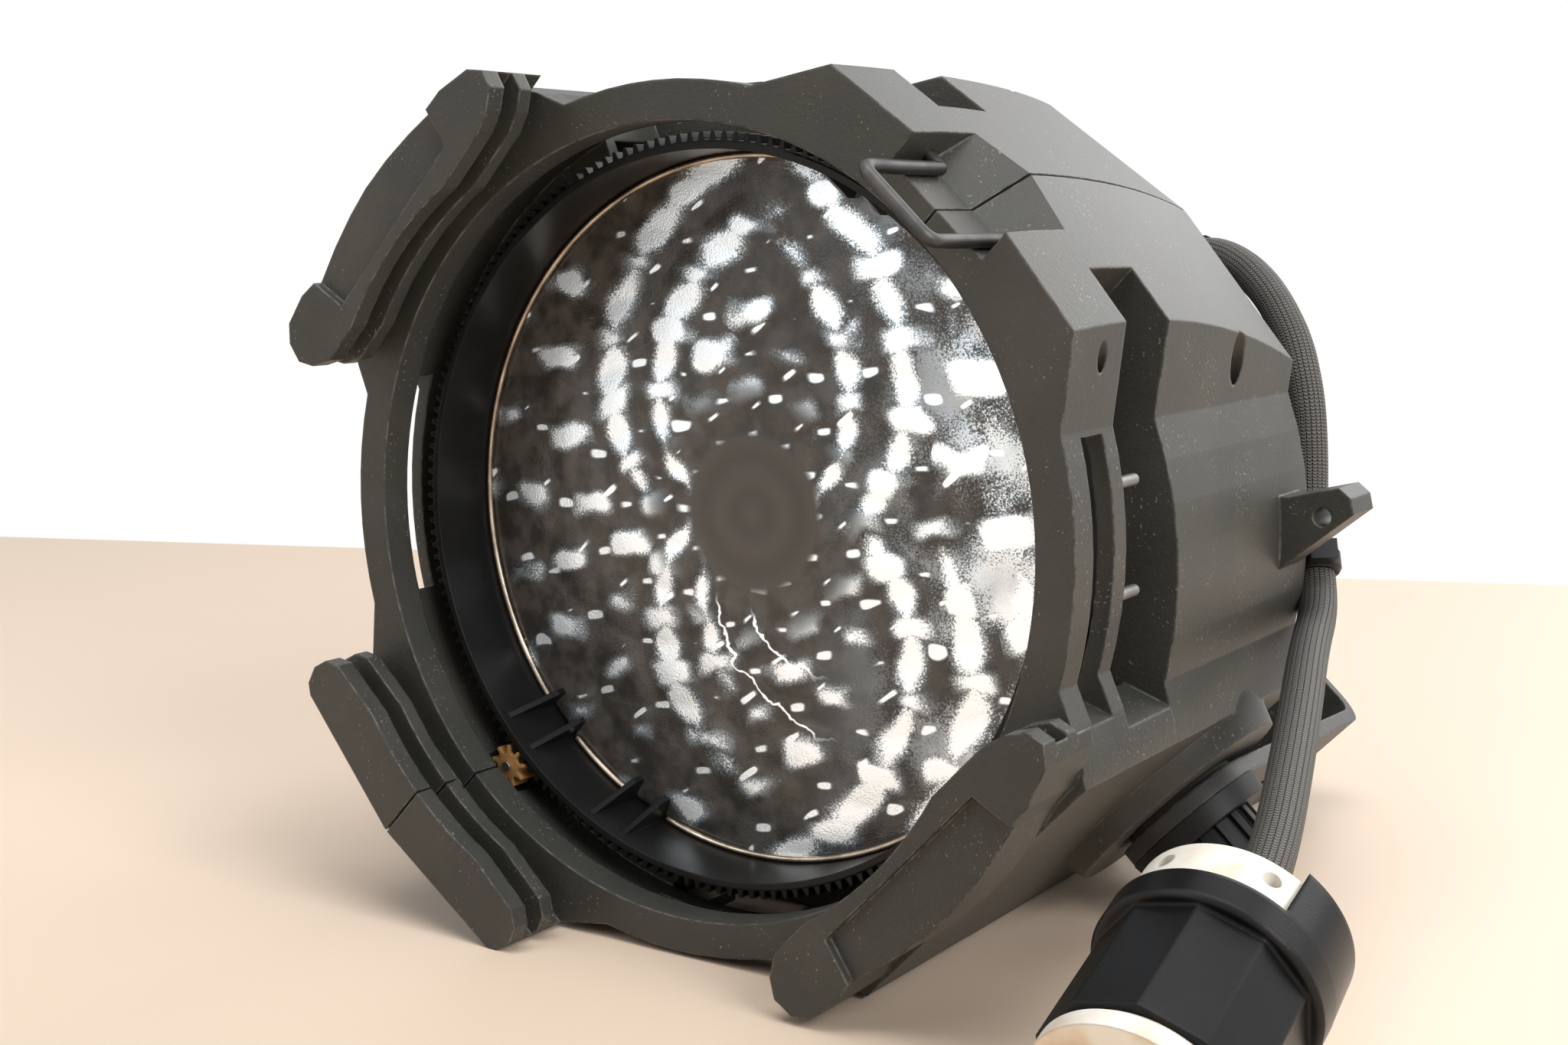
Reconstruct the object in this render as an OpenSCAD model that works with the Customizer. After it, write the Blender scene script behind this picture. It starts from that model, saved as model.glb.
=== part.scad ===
// Stage wash light: a die-cast barrel in two halves with a wide stippled lens that
// turns in a toothed ring, a dimpled reflector, a lamp on a rear cap, accessory slots
// on three sides with a wire latch on the fourth, a strap yoke, and a sleeved lead with
// a locking plug.
//
// The modules draw the light in its own axes: X across, +Y from the lens to the rear cap,
// +Z towards the wire latch, and the front face of the barrel at Y = 0. posed() then lays
// it on the floor the way it comes to rest, rolled onto one corner of its lower slots.

/* [Barrel] */
// Radius of the front ring and ribs between the flats
ring_outer_r = 98.5; // [97:0.5:100]
// Depth of the front ring
ring_depth = 8; // [6:0.5:10]
// Length of the barrel, from the front ring to its rear edge
barrel_len = 124; // [118:1:132]
// Wall thickness of the main shell
shell_wall = 3.5; // [2.5:0.5:5]
// Half width of the roof
roof_half_w = 38; // [34:1:42]
// Height of the roof ridge above the lens axis
roof_z = 106.8; // [104:0.2:109]
// Distance of the side flats from the lens axis
flank_x = 104; // [102:0.5:106]
// Half height of the side flats
flank_half_h = 38; // [34:1:42]
// Depth of the barrel's floor below the lens axis
floor_z = 101; // [99:0.5:103]
// Gap between the two halves at the seam
seam_gap = 0.6; // [0.2:0.1:1.5]

/* [Vents] */
// Front edge of the first vent slot
vent_1_y = 8; // [7:0.5:10]
// Front edge of the thin rib between the vent slots
rib_y = 18; // [16:0.5:20]
// Thickness of that rib
rib_t = 5.5; // [4:0.5:7]
// Front edge of the main shell, behind the second vent slot
shell_y = 45; // [42:1:48]

/* [Accessory slots] */
// Width of a square accessory frame, which sets the slots
frame_w = 190; // [186:1:192]
// Front of the slots, ahead of the front ring
slot_front = 20.3; // [19:0.1:22]
// Thickness of the front plate of each slot
front_plate_t = 4.8; // [4:0.2:6]
// Thickness of the middle plate of each slot
mid_plate_t = 3.8; // [3:0.2:5]
// Width of the front slot
slot_w = 5.2; // [4.6:0.1:5.6]
// How far a slot's plates cover the edge of a frame
slot_lip = 8; // [6:0.5:10]

/* [Lens] */
// Number of teeth on the lens ring
ring_teeth = 174; // [160:1:176]
// Number of teeth on the pinion
pinion_teeth = 9; // [8:1:10]
// Front face of the glass at its edge
lens_y = 32; // [31:0.5:33]
// Thickness of the glass at its edge
lens_t = 4; // [3:0.5:5]
// Running clearance round the lens ring
run_gap = 0.08; // [0.05:0.01:0.1]

/* [Reflector and lamp] */
// Focal length of the reflector
focal_len = 20; // [18:0.5:22]
// Radius of the hole at the back of the reflector
mirror_hole_r = 20; // [18:0.5:24]
// Radius of the quartz bulb
bulb_r = 9.5; // [8:0.5:11]

/* [Rear] */
// Outer radius of the neck behind the barrel
neck_r = 80; // [76:0.5:82]
// Length of the neck
neck_len = 34; // [28:1:36]
// Radius of the drum on the lamp cap
drum_r = 50; // [48:0.5:54]
// Length of the lamp cap behind the neck
cap_len = 26; // [24:1:28]

/* [Yoke] */
// Distance of the tilt axis behind the front ring
pivot_y = 86; // [84:0.5:90]
// Height of the tilt axis above the lens axis
pivot_z = 8; // [6:0.5:10]
// Thickness of the strap
strap_t = 4; // [3:0.5:5]
// Width of the strap
strap_w = 36; // [32:1:40]
// Gap between an arm and the side flat of the barrel
yoke_gap = 7; // [6.7:0.1:9]
// Length of the arms, from the tilt axis to the back of the strap
yoke_len = 122; // [122:1:128]
// Angle of the arms below the lens axis at rest
yoke_drop = 8.74; // [7:0.05:9]
// Radius of the pivot bolts
bolt_r = 5; // [4:0.5:6]
// Radius of the hole for a hanging clamp
hang_hole_r = 6.5; // [5:0.5:8]

/* [Lead] */
// Diameter of the braided sleeve
lead_d = 9.6; // [8.6:0.1:9.8]
// Radius of the plug's collar
collar_r = 22; // [21:0.1:22.4]
// Angle of the plug below level
plug_pitch = 21; // [20:0.1:22]

/* [Rest] */
// Angle of roll at which the light comes to rest
rest_roll = 43.7; // [43:0.1:44.5]

/* [Hidden] */
$fn = 72;

eps = 0.01;
seat = 0.02;

// The corner of the lower slots that carries the light's front on the floor
clip_corner = [40.8, 98];
rest_lift = clip_corner[0] * sin(rest_roll) + clip_corner[1] * cos(rest_roll);
rest_x = -8.33;
rest_y = -94.5;

roof_drop = 5.2;
roof_camber_r = 500;
roof_camber_y = 25;
facet_a = 31;
fold_a = 64;
lower_ease = 1.9;
panel_grow = 0.15;
cavity_r = ring_outer_r - 4;
rear_wall = 4;
neck_wall = 3;
neck_end = barrel_len + neck_len;
cap_end = neck_end + cap_len;

channel = frame_w / 2 + 0.5;
clip_inner = frame_w / 2 - slot_lip;
mid_plate_y = -slot_front + front_plate_t + slot_w;

// The ring, the glass and the mirror fill the front ring, each a step inside the last
ring_inner_r = ring_outer_r - 8.8;
ring_pitch_r = ring_outer_r - 11.5;
lens_r = ring_outer_r - 14.9;
mirror_r = ring_outer_r - 15.5;
gear_module = 2 * ring_pitch_r / ring_teeth;
pinion_pitch_r = gear_module * pinion_teeth / 2;
addendum = 0.8 * gear_module;
dedendum = 1.1 * gear_module;
ring_root_r = ring_pitch_r - dedendum;
tube_r = ring_root_r - 0.3;
bore_r = lens_r + 0.35;
gear_y = 13.5;
gear_w = 4.5;
guide_y = rib_y + rib_t;
guide_w = 3.5;
ring_back = lens_y + lens_t + 2;
pinion_z = -(ring_pitch_r + pinion_pitch_r);
pinion_w = gear_w + 1;
shaft_r = 1.5;

mirror_flange_y = shell_y - 1.2 - seat;
mirror_back = mirror_flange_y + mirror_r * mirror_r / (4 * focal_len);
mirror_wall = 1.2;
bulkhead_t = 3;
lamp_base_y = 128;
socket_y = 146;
flange_t = 3;
socket_end = cap_end - flange_t;

yoke_inner_w = 2 * (flank_x + yoke_gap);
disc_x = yoke_inner_w / 2 + strap_t;
boss_x = yoke_inner_w / 2 - 1.5;
boss_r = 29;

// Everything below the light's own axes: laid on the floor as it rests
module posed() {
    translate([rest_x, rest_y, rest_lift]) rotate([0, rest_roll, 0]) children();
}

// A flat shape drawn in X and Z, pulled along Y
module along_y(y0, y1) {
    translate([0, y1, 0]) rotate([90, 0, 0]) linear_extrude(y1 - y0) children();
}

// A profile of [radius, Y], turned about the lens axis
module turned(points) {
    rotate([-90, 0, 0]) rotate_extrude($fn = 96) polygon(points);
}

// A cylinder along X, starting at x0
module rod_x(x0, len, r, r_end = undef) {
    translate([x0, 0, 0]) rotate([0, 90, 0])
        cylinder(h = len, r1 = r, r2 = is_undef(r_end) ? r : r_end);
}

module rod_y(y0, len, r, r_end = undef) {
    translate([0, y0, 0]) rotate([-90, 0, 0])
        cylinder(h = len, r1 = r, r2 = is_undef(r_end) ? r : r_end);
}

module at_pivot() {
    translate([0, pivot_y, pivot_z]) children();
}

function polar(r, a) = [r * sin(a), r * cos(a)];
function arc(r, a0, a1, n) = [for (i = [0 : n]) polar(r, a0 + (a1 - a0) * i / n)];

// ---- Barrel outlines, right half, in X and Z ----

// Radius of the main shell's curved panel, which swells towards the side flat
function panel_r(a) = ring_outer_r - 0.2 + panel_grow * (a - facet_a);

function shell_half(inset) = concat(
    [[0, roof_z - inset], [roof_half_w - inset * 0.6, roof_z - roof_drop - inset]],
    [for (a = [facet_a : 5.5 : fold_a]) polar(panel_r(a) - inset, a)],
    [[flank_x - inset, flank_half_h - inset * 0.4], [flank_x - inset, -flank_half_h + 1.6 + inset * 0.4]],
    [for (a = [fold_a : -5.5 : facet_a]) polar(panel_r(a) - lower_ease - inset, 180 - a)],
    [[roof_half_w - inset * 0.6, -floor_z + 2 + inset], [0, -floor_z + inset]]);

function front_half() = concat(
    [[0, roof_z], [roof_half_w, roof_z - roof_drop]],
    arc(ring_outer_r, facet_a, 61, 8),
    [[94, 44.4], [flank_x - 4, flank_half_h + 3], [flank_x, flank_half_h],
     [flank_x, -flank_half_h + 2], [97, -flank_half_h - 3]],
    arc(ring_outer_r - 0.6, 118, 180 - facet_a, 8),
    [[41.6, -95], [40.2, -97.4], [36, -floor_z + 1.6], [0, -floor_z]]);

// Region kept by the cambered roof, which falls away towards the rear and the sides
module roof_limit() {
    camber_tilt = atan(roof_drop / roof_half_w);
    translate([0, roof_camber_y, roof_z]) rotate([0, camber_tilt, 0])
        translate([0, 0, -roof_camber_r]) rotate([0, 90, 0])
            cylinder(h = 1200, r = roof_camber_r, center = true, $fn = 180);
}

// Plate outline of a side slot: a straight inner edge with an end boss at each end
side_clip = [[clip_inner, -33], [90, -38], [94, -40.5], [99, -39.5], [102.3, -36],
    [103.4, -28], [102.4, -22.5], [104.4, -13], [105.6, -4], [106, 4], [105.4, 13],
    [104, 22], [102, 31], [101.6, 37], [98.5, 45.8], [95, 48.6], [91, 47.4], [88.4, 43],
    [clip_inner, 38]];
// Sunk pad between the end bosses
side_pad = [[92.5, -20.5], [110, -24.5], [110, 33], [92.5, 29]];
// Plate outline of the lower slots, right half
lower_clip = [[0, -clip_inner], [37, -clip_inner], [40.6, -89.4], [42, -93.4],
    [clip_corner[0], -clip_corner[1]], [38.4, -99.9], [0, -105]];

module slot_stack(inner_limit) {
    difference() {
        along_y(-slot_front, eps) children(0);
        // the two channels for accessory frames
        for (channel_y = [[-slot_front + front_plate_t, mid_plate_y],
                          [mid_plate_y + mid_plate_t, eps * 2]])
            along_y(channel_y[0], channel_y[1]) children(1);
    }
}

module side_slots() {
    difference() {
        slot_stack() {
            polygon(side_clip);
            translate([0, -60]) square([channel, 120]);
        }
        translate([0, -slot_front - eps, 0]) along_y(0, 2.2) polygon(side_pad);
    }
}

module lower_slots() {
    slot_stack() {
        polygon(lower_clip);
        translate([-1, -channel]) square([60, 60]);
    }
}

// A vent slot through the wall, between two angles from +Z
module vent_cut(y0, y1, a0, a1) {
    along_y(y0, y1) polygon(concat([polar(cavity_r - 8, a0)], [polar(150, a0)],
        [polar(170, (a0 + a1) / 2)], [polar(150, a1)], [polar(cavity_r - 8, a1)]));
}

pocket_floor = roof_z - 10.2;
latch_y = 13;

// The pocket behind the wire latch, with a ramp for a fingertip
module latch_pocket() {
    rotate([90, 0, 90]) translate([0, 0, -14.5]) linear_extrude(29)
        polygon([[-40, pocket_floor], [latch_y + 1.9, pocket_floor], [27.5, roof_z + 0.4],
            [27.5, 120], [-40, 120]]);
}

latch_wire_r = 1.5;
latch_z = pocket_floor + latch_wire_r + 0.1;
latch_half_w = 10.6;
latch_reach = 30.5;

module latch_bore() {
    translate([0, latch_y, latch_z]) rod_x(-20.5, 41, latch_wire_r + 0.06);
}

// Fin that the lead is tied to, on the right half only: a wedge that narrows outwards
lug_front = barrel_len - 19;
module lead_lug() {
    lug_r = ring_outer_r + 3;
    along_y(lug_front, lug_front + 14) difference() {
        polygon([polar(lug_r - 5, 44.9), polar(lug_r + 1.5, 44.9), polar(lug_r + 13.4, 43.6),
            polar(lug_r + 16.2, 44.8), polar(lug_r + 17, 46.6), polar(lug_r, 55), polar(lug_r - 5, 55)]);
        translate(polar(lug_r + 9.5, 47.2)) circle(r = 2.2);
    }
}

module half_shell() {
    difference() {
        union() {
            along_y(0, shell_y) polygon(front_half());
            along_y(shell_y, barrel_len) polygon(shell_half(0));
            // neck for the lamp cap
            intersection() {
                rod_y(barrel_len - eps, neck_len + eps, neck_r);
                translate([0, 0, -120]) cube([120, 300, 240]);
            }
            side_slots();
            lower_slots();
            // round flange that the yoke bears on
            at_pivot() rod_x(flank_x - 3, boss_x - flank_x + 3, boss_r + 3, boss_r);
        }
        // front opening, then the chamber round the lens ring
        rod_y(-40, 40 + ring_depth + eps, ring_inner_r);
        rod_y(ring_depth, guide_y - ring_depth, cavity_r);
        rod_y(guide_y - eps, guide_w + 2 * eps, tube_r + run_gap);
        rod_y(guide_y + guide_w, shell_y - guide_y - guide_w, cavity_r);
        rod_y(shell_y - eps, bulkhead_t + 2 * eps, mirror_r + 2.6);
        intersection() {
            along_y(shell_y + bulkhead_t, barrel_len - rear_wall) polygon(shell_half(shell_wall));
            translate([0, 0, -roof_fall]) roof_limit();
        }
        rod_y(barrel_len - rear_wall - eps, neck_len + rear_wall + 1, neck_r - neck_wall);
        // vents: a narrow one behind the ring and a deep one ahead of the main shell
        vent_cut(vent_1_y, rib_y, facet_a + 0.7, 65);
        vent_cut(vent_1_y, rib_y, 180 - 65, 180 - facet_a - 0.7);
        along_y(rib_y + rib_t, shell_y) polygon([[24.5, 88], [24.5, 130], [130, 130],
            polar(150, 66.5), polar(cavity_r - 8, 66.5), polar(cavity_r - 8, 30)]);
        vent_cut(guide_y, shell_y, 180 - 66.5, 180 - facet_a - 0.7);
        // draught slots round the neck
        for (i = [1 : 10])
            rotate([0, i * 16.4 + 0, 0]) translate([-3, barrel_len + 8, 60]) cube([6, 14, 40]);
        // deep screw holes in the roof facet
        translate([41.9, 14.2, 70]) cylinder(h = 40, r = 2);
        translate([44.4, 87.4, 86]) cylinder(h = 30, r = 3.8);
        latch_pocket();
        latch_bore();
        // pinion chamber and the hole for its shaft
        translate([0, 0, pinion_z]) rod_y(ring_depth + 2, guide_y - ring_depth - 4, 7);
        translate([0, 0, pinion_z]) rod_y(ring_depth, guide_y + guide_w + 6, shaft_r + 0.05);
        // tilt bolt
        at_pivot() rod_x(60, 80, bolt_r + 0.05);
        for (p = guide_pin_spots) rotate([0, p, 0])
            translate([0, 0, pin_r_at]) rod_y(rib_y + 1.5, 20, pin_r + 0.03);
        for (y = screw_rows) translate([0, y, -floor_z + 8]) {
            rod_x(-1, 60, 2.1);
            rod_x(12, 60, 4.2);
        }
        translate([seam_gap / 2 - 60, -60, -150]) cube([60, 400, 300]);
    }
}

roof_fall = shell_wall;
guide_pin_spots = [38, 52, 128, 142];
pin_r = 1.3;
pin_r_at = ring_outer_r - 2.2;
screw_rows = [64, 112];

// Inside stiffeners: bosses for the tilt bolt and for the seam screws
module half_bosses() {
    difference() {
        union() {
            at_pivot() rod_x(flank_x - 14, 12, 12);
            for (y = screw_rows) translate([0, y, -floor_z + 8]) rod_x(seam_gap / 2, 14, 6.5);
        }
        at_pivot() rod_x(60, 80, bolt_r + 0.05);
        for (y = screw_rows) translate([0, y, -floor_z + 8]) {
            rod_x(-1, 60, 2.1);
            rod_x(12, 60, 4.2);
        }
    }
}

module right_half_solid() {
    intersection() {
        union() {
            half_shell();
            half_bosses();
        }
        union() {
            roof_limit();
            translate([-10, -100, -150]) cube([160, 400, 220]);
        }
    }
}

module right_housing() color([0.13, 0.13, 0.13]) posed() difference() {
    union() {
        right_half_solid();
        lead_lug();
        rotate([0, lock_a, 0]) translate([0, lock_y, neck_r - 2]) cylinder(h = 2 + lock_boss, r = 3.5);
    }
    rotate([0, lock_a, 0]) translate([0, lock_y, 60]) cylinder(h = 40, r = 2.05);
}

module left_housing() color([0.13, 0.13, 0.13]) posed() mirror([1, 0, 0]) right_half_solid();

module housing_screws() color([0.25, 0.25, 0.26]) posed() {
    for (y = screw_rows) translate([0, y, -floor_z + 8]) difference() {
        union() {
            rod_x(-12.5, 24.5, 2.05);
            rod_x(12, 4, 3.9);
        }
        rod_x(14, 3, 1.8);
    }
}

module guide_pins() color([0.55, 0.55, 0.52]) posed() {
    for (side = [0, 1]) mirror([side, 0, 0])
        for (p = guide_pin_spots) rotate([0, p, 0])
            translate([0, 0, pin_r_at]) rod_y(rib_y + 1.5, 14, pin_r);
}

// One bent wire: a front bar, two legs and two short ends in the barrel
module bail_latch() color([0.1, 0.1, 0.1]) posed() translate([0, latch_y, latch_z]) {
    bend_r = 3;
    for (side = [-1, 1]) {
        translate([side * latch_half_w, 0, 0]) {
            rotate([90, 0, 0]) cylinder(h = latch_reach - bend_r, r = latch_wire_r);
            sphere(r = latch_wire_r);
        }
        rod_x(side > 0 ? latch_half_w : -latch_half_w - 8, 8, latch_wire_r);
        translate([side * (latch_half_w - bend_r), -(latch_reach - bend_r), 0])
            rotate([0, 0, side > 0 ? -90 : 180])
                rotate_extrude(angle = 90) translate([bend_r, 0]) circle(r = latch_wire_r, $fn = 24);
    }
    translate([0, -latch_reach, 0])
        rod_x(-(latch_half_w - bend_r), 2 * (latch_half_w - bend_r), latch_wire_r);
}

// ---- Lens ring, glass and pinion ----

// Straight-sided teeth: half width at the root and at the tip, round a root circle
function toothed(teeth, root_r, tip_r, root_w, tip_w) = [
    for (i = [0 : teeth - 1]) let (a = i * 360 / teeth)
        each [
            polar(root_r, a - atan(root_w / root_r)),
            polar(tip_r, a - atan(tip_w / tip_r)),
            polar(tip_r, a + atan(tip_w / tip_r)),
            polar(root_r, a + atan(root_w / root_r))]];

rib_pairs = [-3, 20, 177, 200];
rib_spread = 3.4;

module lens_ring() color([0.09, 0.09, 0.09]) posed() {
    // teeth start a gap over the pinion, straight down
    gear_turn = 180 + 180 / ring_teeth;
    difference() {
        rotate([0, gear_turn, 0]) along_y(gear_y, gear_y + gear_w)
            polygon(toothed(ring_teeth, ring_root_r, ring_pitch_r + addendum,
                0.86 * gear_module, 0.42 * gear_module));
        rod_y(0, 60, tube_r - 0.5);
    }
    turned([[bore_r, gear_y - 0.6], [tube_r, gear_y - 0.6], [tube_r, gear_y + gear_w + 0.9],
        [tube_r + 1.1, gear_y + gear_w + 0.9], [tube_r + 1.1, guide_y - 0.3], [tube_r, guide_y - 0.3],
        [tube_r, guide_y + guide_w + 0.3], [tube_r + 1.4, guide_y + guide_w + 0.3],
        [tube_r + 1.4, guide_y + guide_w + 2.2], [tube_r, guide_y + guide_w + 2.2],
        [tube_r, ring_back], [lens_r - 3.6, ring_back], [lens_r - 3.6, lens_y + lens_t],
        [bore_r, lens_y + lens_t]]);
    // paired ribs that keep the ends of the wire springs apart
    for (pair = rib_pairs, side = [-1, 1])
        rotate([0, 180 - pair + side * rib_spread, 0]) translate([-0.75, 0, 0])
            rotate([90, 0, 90]) linear_extrude(1.5)
                polygon([[gear_y + 1, bore_r + 0.4], [lens_y - 0.3, bore_r + 0.4],
                    [lens_y - 0.3, bore_r - 6], [lens_y - 3, bore_r - 6]]);
}

module lens_glass() color([0.8, 0.85, 0.85, 0.4]) posed() {
    dome = 1.6;
    edge_y = lens_y;
    turned(concat([[0, lens_y + lens_t - seat], [lens_r, lens_y + lens_t - seat]],
        [for (i = [0 : 10]) let (r = lens_r * (1 - i / 10))
            [r, edge_y - dome * (1 - pow(r / lens_r, 2))]]));
}

module lens_wires() color([0.75, 0.74, 0.68]) posed() {
    wire_r = 0.8;
    reach = bore_r - wire_r - 0.03;
    gap_half = rib_spread + 1.2;
    for (i = [0 : 3]) {
        from = rib_pairs[i] + gap_half;
        to = (i < 3 ? rib_pairs[i + 1] : rib_pairs[0] + 360) - gap_half;
        translate([0, lens_y - wire_r - 0.02, 0]) rotate([-90, 0, 0])
            rotate([0, 0, 90 - from - (to - from)])
                rotate_extrude(angle = to - from, $fn = 96)
                    translate([reach, 0]) circle(r = wire_r, $fn = 16);
    }
}

module pinion() color([0.55, 0.36, 0.16]) posed() translate([0, 0, pinion_z]) difference() {
    along_y(gear_y - 0.5, gear_y - 0.5 + pinion_w)
        polygon(toothed(pinion_teeth, pinion_pitch_r - dedendum, pinion_pitch_r + addendum,
            0.62 * gear_module, 0.32 * gear_module));
    rod_y(0, 40, shaft_r - 0.3);
}

module pinion_shaft() color([0.6, 0.6, 0.6]) posed() translate([0, 0, pinion_z]) {
    rod_y(gear_y - 1.2, pinion_w + 1.4, shaft_r - 0.3);
    rod_y(gear_y + pinion_w + 0.2 - 0.5, guide_y + guide_w - gear_y - pinion_w + 0.3 + 2, shaft_r);
}

// ---- Reflector and lamp ----

function mirror_y(r) = mirror_back - r * r / (4 * focal_len);

module reflector() color([0.85, 0.86, 0.88]) posed() {
    steps = 16;
    radii = [for (i = [0 : steps]) mirror_hole_r + (mirror_r - mirror_hole_r) * i / steps];

    turned(concat(
        [for (r = radii) [r, mirror_y(r)]],
        [[mirror_r + 6, mirror_flange_y], [mirror_r + 6, mirror_flange_y + mirror_wall]],

        [for (i = [steps : -1 : 0]) [radii[i] + mirror_wall * 0.8, mirror_y(radii[i]) + mirror_wall]]));
}

module lamp_bulb() color([0.9, 0.92, 0.93, 0.4]) posed() {
    tip_y = mirror_back - focal_len - 18;
    wall = 1;
    turned([[0, tip_y], [bulb_r * 0.5, tip_y + 1.2], [bulb_r * 0.87, tip_y + 4.6],
        [bulb_r, tip_y + bulb_r], [bulb_r, lamp_base_y - seat], [0, lamp_base_y - seat],
        [0, lamp_base_y - 5], [bulb_r - wall, lamp_base_y - 5], [bulb_r - wall, tip_y + bulb_r],
        [bulb_r * 0.8, tip_y + 5.6], [bulb_r * 0.45, tip_y + 2.6], [0, tip_y + 1.6]]);
}

module lamp_filament() color([0.7, 0.7, 0.68]) posed() {
    centre_y = mirror_back - focal_len;
    for (i = [0 : 3]) rotate([0, 45 + i * 90, 0]) translate([4, centre_y - 8, 0])
        rotate([-90, 0, 0]) cylinder(h = 16, r = 1.1, $fn = 16);
    for (i = [0 : 1]) rotate([0, 45 + i * 180, 0]) translate([4, centre_y + 8, 0])
        rotate([-90, 0, 0]) cylinder(h = lamp_base_y - 5.02 - centre_y - 8, r = 0.6, $fn = 16);
    translate([0, centre_y + 9, 0]) rotate([-90, 0, 0]) cylinder(h = 1.4, r = 5.4);
}

module lamp_base() color([0.62, 0.63, 0.65]) posed() {
    fins = 5;
    fin_pitch = (socket_y - lamp_base_y) / fins;
    rod_y(lamp_base_y, socket_y - lamp_base_y, 11);
    for (i = [0 : fins - 1]) rod_y(lamp_base_y + i * fin_pitch, 1.5, 15.5);
}

module lamp_socket() color([0.85, 0.83, 0.78]) posed() {
    difference() {
        union() {
            rod_y(socket_y + seat, 14, 15);
            rod_y(socket_y + 14, socket_end - socket_y - 14 - seat, 12);
            translate([-20, socket_end - 4 - seat, -7]) cube([40, 4, 14]);
        }
        for (side = [-1, 1]) translate([side * 16, 0, 0]) rod_y(socket_end - 10, 20, 1.6);
    }
}

// ---- Lamp cap ----

fin_count = 16;
gland_y = neck_end + 13;
gland_a = -7;
gland_hole_r = 7.4;
lock_a = 23.8;
lock_boss = 5;
lock_y = neck_end - 3.5;

module rear_cap() color([0.13, 0.13, 0.13]) posed() difference() {
    union() {
        turned([[neck_r - neck_wall - 3.2, neck_end - 11], [neck_r - neck_wall - 0.3, neck_end - 11],
            [neck_r - neck_wall - 0.3, neck_end + seat], [neck_r - 1, neck_end + seat],
            [neck_r - 1, neck_end + flange_t], [drum_r, neck_end + flange_t],
            [drum_r, cap_end - 5], [drum_r - 6, cap_end], [0, cap_end], [0, cap_end - flange_t],
            [drum_r - 7, cap_end - flange_t], [drum_r - flange_t, cap_end - 6],
            [drum_r - flange_t, neck_end + seat], [neck_r - neck_wall - 3.2, neck_end + seat]]);
        // cooling fins between the flange and the back
        for (i = [1 : fin_count - 2]) rotate([0, gland_a + 11.25 + i * 360 / fin_count, 0])
            translate([-1, neck_end + flange_t - eps, drum_r - 1]) cube([2, 18, 6]);
        rotate([0, gland_a, 0]) translate([0, gland_y, drum_r - 2]) cylinder(h = 5, r = 11);
    }
    // draught slots between the fins
    for (i = [0 : fin_count - 1]) if (i != fin_count - 1)
        rotate([0, gland_a + i * 360 / fin_count + 22.5, 0])
            translate([-4, neck_end + flange_t + 4, 40]) cube([8, 10, 20]);
    // lead entry and lock screw
    rotate([0, gland_a, 0]) translate([0, gland_y, 30]) cylinder(h = 40, r = gland_hole_r);
    rotate([0, lock_a, 0]) translate([0, lock_y, 60]) cylinder(h = 30, r = 2.05);
    for (side = [-1, 1]) translate([side * 16, 0, 0]) rod_y(cap_end - 10, 20, 1.6);
    for (i = [0 : 2]) rotate([0, 80 + i * 120, 0])
        translate([0, 0, neck_r - 7]) rod_y(neck_end - 20, 60, 1.6);
}

module cap_screws() color([0.5, 0.5, 0.5]) posed() {
    for (side = [-1, 1]) translate([side * 16, 0, 0]) {
        rod_y(socket_end - 4, flange_t + 4 + 0.02, 1.57);
        rod_y(cap_end + 0.02, 2, 3.2);
    }
}

module lock_screw() color([0.72, 0.75, 0.72]) posed()
    rotate([0, lock_a, 0]) translate([0, lock_y, 0]) {
        translate([0, 0, neck_r - 9]) cylinder(h = 19, r = 2);
        translate([0, 0, neck_r + lock_boss + seat]) cylinder(h = 9 - lock_boss, r = 3);
        translate([0, 0, neck_r + 9]) cylinder(h = 7, r = 4);
    }

// ---- Yoke and tilt hardware ----

module rounded_u(outer_half, back, r) {
    difference() {
        translate([-outer_half, -60]) square([2 * outer_half, back + 60]);
        for (side = [-1, 1]) translate([side * (outer_half - r), back - r]) difference() {
            translate([side > 0 ? 0 : -r - 1, 0]) square([r + 1, r + 1]);
            circle(r = r);
        }
    }
}

module yoke() color([0.11, 0.11, 0.11]) posed() at_pivot() rotate([-yoke_drop, 0, 0]) difference() {
    intersection() {
        translate([0, 0, -strap_w / 2]) linear_extrude(strap_w) difference() {
            rounded_u(disc_x, yoke_len, 9);
            rounded_u(yoke_inner_w / 2, yoke_len - strap_t, 5);
        }
        union() {
            rod_x(-150, 300, strap_w / 2);
            translate([-150, 0, -50]) cube([300, 200, 100]);
        }
    }
    rod_x(-150, 300, bolt_r + 0.05);
    rod_y(60, 100, hang_hole_r);
    for (side = [-1, 1]) translate([side * 28, 0, 0]) rod_y(60, 100, 4.3);
    // lightening slot in each arm
    for (side = [-1, 1]) translate([side * (disc_x - strap_t / 2), 0, 0]) rotate([0, 90, 0])
        for (y = [44, 64]) translate([0, y, -10]) cylinder(h = 20, r = 3.2);
    translate([-150, 44, -3.2]) cube([300, 20, 6.4]);
}

module pivot_washers() color([0.2, 0.19, 0.18]) posed() at_pivot() {
    washer_t = disc_x - strap_t - boss_x;
    for (side = [0, 1]) mirror([side, 0, 0]) difference() {
        rod_x(boss_x + seat, washer_t - 2 * seat, 15);
        rod_x(0, 200, bolt_r + 0.05);
    }
}

disc_t = 5;
disc_r = 18.2;
knob_t = 13;

module pivot_bolt_right() color([0.3, 0.3, 0.3]) posed() at_pivot() {
    rod_x(flank_x - 15.5, disc_x + disc_t + knob_t - 5 - flank_x + 15.5, bolt_r);
    rod_x(flank_x - 19, 4.6 - seat, 8);
}

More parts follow.
